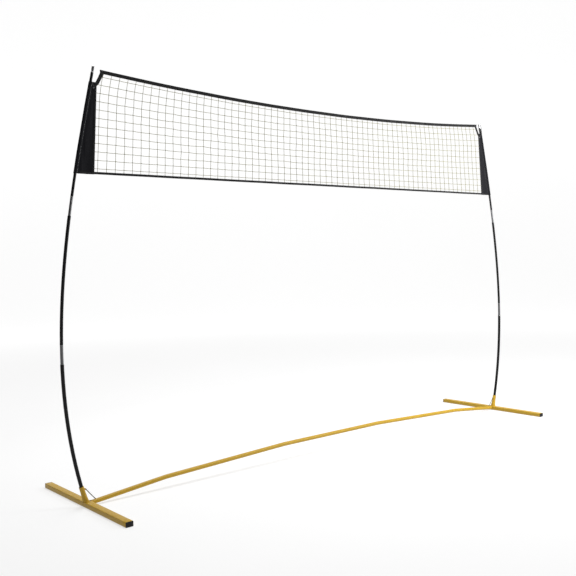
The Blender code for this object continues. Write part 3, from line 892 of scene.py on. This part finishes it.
def grommet(label, side):
    """Two rolled metal rings, pressed together through the cloth."""
    shape = Shape("grommet")
    middle = Vector((side * GROMMET_AT[0], NET_Y, GROMMET_AT[1]))
    inner, outer, face, rise = 0.0018, 0.0066, 0.0014, 0.0011
    crest, reach = (inner + outer) / 2, (outer - inner) / 2
    profile = [(inner + 0.0002, 0.0)]
    for k in range(9):
        a = math.pi * k / 8
        profile.append((crest - reach * math.cos(a), face + rise * math.sin(a) ** 0.8))
    profile.append((outer - 0.0004, 0.0009))
    both = profile + [(r, -y) for r, y in profile[:0:-1]]
    rings = []
    for k in range(40):
        a = 2 * math.pi * k / 40
        out = Vector((math.cos(a), 0, math.sin(a)))
        rings.append([middle + out * r + Vector((0, y, 0)) for r, y in both])
    shape.loft(rings, through=True)
    piece = shape.build(f"{label}_grommet_ring")
    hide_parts(f"{label}_grommet")
    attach(piece, f"{label}_upper")


def elastic_loop(label, side):
    """Elastic from the grommet up both faces of the pole and over the nock in its tip."""
    along = pole_along(side, TIP_TOP - 0.03)
    top = pole_at(side, TIP_TOP)
    over = top - along * (NOCK - LOOP_RADIUS - 0.0004)
    eye = Vector((side * GROMMET_AT[0], NET_Y, GROMMET_AT[1] + 0.0006))
    clear = 0.0098 + LOOP_RADIUS + 0.0008  # of the sleeve
    shoulder = pole_at(side, PANEL_HIGH.z + 0.004) + Vector((-side * 0.001, 0, 0))
    half = [
        eye,
        eye + Vector((0, 0.0032, 0.0002)),
        eye + Vector((0, 0.0056, 0.0030)),
        shoulder.lerp(eye, 0.45) + Vector((0, clear * 0.80, 0)),
        shoulder + Vector((0, clear, 0)),
        over - along * 0.008 + Vector((0, TIP_RADIUS + LOOP_RADIUS + 0.0009, 0)),
        over - along * 0.001 + Vector((0, TIP_RADIUS + 0.0012, 0)),
        over + Vector((0, 0.004, 0)),
        over,
    ]
    front = [Vector((p.x, 2 * NET_Y - p.y, p.z)) for p in half[-2:0:-1]]
    path = smooth_loop(half + front, 5)
    shape = Shape("elastic")
    tube(shape, path, LOOP_RADIUS, 12, closed=True)
    piece = shape.build(f"{label}_elastic")
    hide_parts(f"{label}_elastic_loop")
    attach(piece, f"{label}_upper")


# Base


def rounded_outline(width, height, corner, steps=6):
    """A rectangle with round corners, as (x, z) points around its middle."""
    outline = []
    for cx, cz, start in ((1, 1, 0), (-1, 1, 90), (-1, -1, 180), (1, -1, 270)):
        for k in range(steps + 1):
            a = math.radians(start + 90 * k / steps)
            px = cx * (width / 2 - corner) + corner * math.cos(a)
            outline.append((px, cz * (height / 2 - corner) + corner * math.sin(a)))
    return outline


def foot(label):
    """A rectangular steel tube with rolled corners, and its two moulded end caps."""
    low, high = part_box(f"{label}_foot")
    middle = (low + high) / 2
    size = high - low

    def ring(y, width, height, corner):
        outline = rounded_outline(width, height, corner)
        return [Vector((middle.x + px, y, middle.z + pz)) for px, pz in outline]

    shape = Shape("paint")
    steps = [low.y, low.y + 0.0006] + [low.y + size.y * k / 24 for k in range(1, 24)]
    steps += [high.y - 0.0006, high.y]
    rings = []
    for y in steps:
        shy = 0.0005 if y in (low.y, high.y) else 0.0
        rings.append(ring(y, size.x - shy, size.z - shy, FOOT_CORNER))
    inside = (size.x - 2 * FOOT_WALL, size.z - 2 * FOOT_WALL, FOOT_CORNER / 2)
    rings += [ring(y, *inside) for y in (high.y, low.y)]
    shape.loft(rings, through=True)
    piece = shape.build(f"{label}_foot_tube")
    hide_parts(f"{label}_foot")
    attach(piece, f"{label}_base")
    for end, way, edge in (("front", -1, low.y), ("back", 1, high.y)):
        shape = Shape("plastic")
        profile = [
            (CAP_PLATE, size.x - 0.0085, size.z - 0.0085, 0.0022),
            (CAP_PLATE - 0.0003, size.x - 0.0065, size.z - 0.0065, 0.0024),
            (CAP_PLATE, size.x - 0.0050, size.z - 0.0050, 0.0026),
            (CAP_PLATE - 0.0002, size.x - 0.0030, size.z - 0.0030, 0.0030),
            (CAP_PLATE - 0.0008, size.x - 0.0012, size.z - 0.0012, 0.0033),
            (CAP_PLATE - 0.0018, size.x, size.z, 0.0034),
            (0.0003, size.x, size.z, 0.0034),
            (0.0003, size.x - 0.0048, size.z - 0.0048, 0.0012),
            (-0.018, size.x - 0.0052, size.z - 0.0052, 0.0012),
        ]
        rings = [ring(edge + way * y, w, h, r) for y, w, h, r in profile]
        shape.loft(rings, ends=True)
        for k in range(3):
            inset = 0.006 * (k - 1)
            ridge = [
                Vector((middle.x + inset, edge + way * (CAP_PLATE - 0.0004), middle.z + z))
                for z in (-0.0062, -0.002, 0.002, 0.0062)
            ]
            tube(shape, ridge, 0.0009, 8)
        cap = shape.build(f"{label}_{end}_end_cap")
        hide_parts(f"{label}_foot_{end}_cap")
        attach(cap, f"{label}_base")


def bead(shape, path, radius, seed):
    """A weld bead: a ripple of overlapping pools along a closed path."""
    rng = random.Random(seed)
    sizes = []
    for i in range(len(path)):
        sizes.append(radius * (1 + 0.22 * math.cos(i * 2.1) + rng.uniform(-0.10, 0.10)))
    tube(shape, path, lambda share: sizes[round(share * (len(path) - 1))], 8, closed=True)


def welds(label, side):
    """Beads around the socket's flare and around the end of the bar."""
    shape = Shape("paint")
    top = FOOT_HIGH.z
    seat = pole_at(side, top)
    ring = [
        Vector((seat.x + FLARE_WELD * math.cos(a), NET_Y + FLARE_WELD * math.sin(a), top + 0.0008))
        for a in (2 * math.pi * k / 72 for k in range(72))
    ]
    bead(shape, ring, FLARE_BEAD, seed=3)
    face = FOOT_LOW.x - 0.0006
    ring = []
    for k in range(60):
        a = 2 * math.pi * k / 60
        z = BAR_FOOT_Z + BAR_WELD[1] * math.sin(a)
        ring.append(Vector((side * face, NET_Y + BAR_WELD[0] * math.cos(a), max(z, 0.0014))))
    bead(shape, ring, BAR_BEAD, seed=5)
    piece = shape.build(f"{label}_weld_beads", sharp=60)
    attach(piece, f"{label}_base")


def stay(label, side):
    """The thin steel rod, a little bowed, with a bead of weld at each end."""
    low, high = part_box(f"{label}_stay")
    outer, inner = (low.x, high.x) if side < 0 else (high.x, low.x)
    start = Vector((outer - side * STAY_INSET, NET_Y, high.z - STAY_INSET))
    end = Vector((inner + side * STAY_INSET, NET_Y, low.z + STAY_INSET))
    way = (end - start).normalized()
    start, end = start - way * 0.0030, end + way * 0.0030
    path = [start.lerp(end, k / 24) for k in range(25)]
    for k, point in enumerate(path):
        point.z -= 0.0012 * math.sin(math.pi * k / 24)
    shape = Shape("steel", "paint")
    tube(shape, path, STAY_RADIUS, 16)
    for spot in (start, end):
        blob = [spot - way * 0.0022 + way * (0.0044 * k / 8) for k in range(9)]
        tube(shape, blob, lambda share: 0.0006 + 0.0026 * math.sin(math.pi * share) ** 0.6, 14, 1)
    piece = shape.build(f"{label}_stay_rod")
    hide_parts(f"{label}_stay")
    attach(piece, f"{label}_base")


def ferrule_highlight_rings(label, side):
    """A thin bright ring at each end of a ferrule's bare stretch: a painted highlight where the
    ferrule's ends catch the light.
    """
    for part, body in (("lower", "lower"), ("upper", "middle")):
        low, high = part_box(f"{label}_{part}_ferrule")
        # the bright metal of these rings is a painted highlight, not a part of the ferrule
        shape = Shape("bright")
        for height in (low.z + BARE_FROM, high.z - BARE_TO):
            along = pole_along(side, height)
            ring = circle(pole_at(side, height), along, BARE_RADII[part] - 0.0001, 40)
            tube(shape, ring, 0.0006, 8, closed=True)
        piece = shape.build(f"{label}_{part}_ferrule_rings")
        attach(piece, f"{label}_{body}")


CAD_LOOKS = {
    "paint": ("bar_tube", "bar_stub", "socket", "stay_lug"),
    "pole": ("lower_pole", "middle_pole", "upper_pole"),
    "ferrule": ("lower_ferrule", "upper_ferrule"),
    "bright": ("pole_tip",),
    "plastic": ("pole_plug",),
}


def dress_cad():
    """Gives each CAD node that stays its material and rounded shading."""
    kept = {"centre_bar_tube": "paint"}
    for look, parts in CAD_LOOKS.items():
        kept.update({f"{label}_{part}": look for label in SIDES for part in parts})
    for name, look in kept.items():
        node = frame["nodes"][name]
        node.data.materials.clear()
        node.data.materials.append(LOOKS[look])
        smooth_node(node)


# Stage


FLOOR_GLOW, WALL_GLOW = 0.61, 0.85  # the pale stage's own light, under the object and far away


def stage():
    floor = bpy.data.meshes.new("floor")
    near, far, across, wall, bend = -16.0, 14.0, 22.0, 9.0, 4.0
    rows = []
    for k in range(25):
        a = math.pi / 2 * k / 24
        rows.append((far - bend + bend * math.sin(a), bend - bend * math.cos(a)))
    rows = [(near, 0.0), *rows, (far, wall)]
    spots = []
    turn = Matrix.Rotation(math.radians(-HEADING), 4, "Z")
    for y, z in rows:
        spots += [turn @ Vector((x, y, z - 0.0005)) for x in (-across, across)]
    faces = [(2 * i, 2 * i + 1, 2 * i + 3, 2 * i + 2) for i in range(len(rows) - 1)]
    floor.from_pydata([tuple(p) for p in spots], [], faces)
    floor.shade_smooth()
    white = (1, 1, 1, 1)
    ground = Nodes("pale_floor", Roughness=0.9, Specular_IOR_Level=0.1, Emission_Color=white)
    shade = ground.blend(ground.noise(0.6, 3), (0.34, 0.34, 0.34), (0.36, 0.36, 0.36))
    ground.link(shade, "Base Color")
    away = ground.add("ShaderNodeVectorMath", {0: ground.place()}, operation="LENGTH").outputs["Value"]
    ground.link(ground.spread(away, FLOOR_GLOW, WALL_GLOW, 2.5, 9.0), "Emission Strength")
    floor.materials.append(ground.material)
    made = bpy.data.objects.new("floor", floor)
    bpy.context.scene.collection.objects.link(made)


def area_light(name, place, target, size, power):
    lamp = bpy.data.lights.new(name, "AREA")
    lamp.shape = "DISK"
    lamp.size = size
    lamp.energy = power
    made = bpy.data.objects.new(name, lamp)
    bpy.context.scene.collection.objects.link(made)
    made.location = place
    made.rotation_euler = (Vector(target) - Vector(place)).to_track_quat("-Z", "Y").to_euler()


def lights():
    world = bpy.data.worlds.new("studio")
    bpy.context.scene.world = world
    world.use_nodes = True
    background = world.node_tree.nodes["Background"]
    background.inputs["Color"].default_value = (1, 1, 1, 1)
    background.inputs["Strength"].default_value = 0.08
    area_light("key", (2.9, -3.0, 2.2), (1.9, 0, 1.1), 1.6, 115)
    area_light("side", (1.2, -1.9, 2.2), (1.7, 0, 1.9), 0.8, 52)
    area_light("top", (0.3, 0.3, 6.0), (0, 0.0, 0), 4.5, 370)


def camera():
    heading, pitch, roll = (math.radians(a) for a in (HEADING, PITCH, ROLL))
    forward = Vector(
        (math.sin(heading) * math.cos(pitch), math.cos(heading) * math.cos(pitch), math.sin(pitch))
    )
    right = Vector((math.cos(heading), -math.sin(heading), 0))
    up = right.cross(forward)
    tilted = math.cos(roll) * right + math.sin(roll) * up
    upward = -math.sin(roll) * right + math.cos(roll) * up
    lens = bpy.data.cameras.new("camera")
    lens.lens = LENS
    lens.sensor_width = 36
    lens.sensor_fit = "HORIZONTAL"
    lens.clip_end = 200
    made = bpy.data.objects.new("camera", lens)
    bpy.context.scene.collection.objects.link(made)
    axes = Matrix((tilted, upward, -forward)).transposed().to_4x4()
    made.matrix_world = Matrix.Translation(Vector(CAMERA_AT)) @ axes
    bpy.context.scene.camera = made


bpy.context.scene.view_settings.view_transform = "Standard"
camera()
lights()
stage()
dress_cad()
netting()
tapes()
for label, side in SIDES.items():
    side_tape(label, side)
    side_panel(label, side)
    grommet(label, side)
    elastic_loop(label, side)
    foot(label)
    welds(label, side)
    panel_binding(label, side)
    stay(label, side)
    ferrule_highlight_rings(label, side)
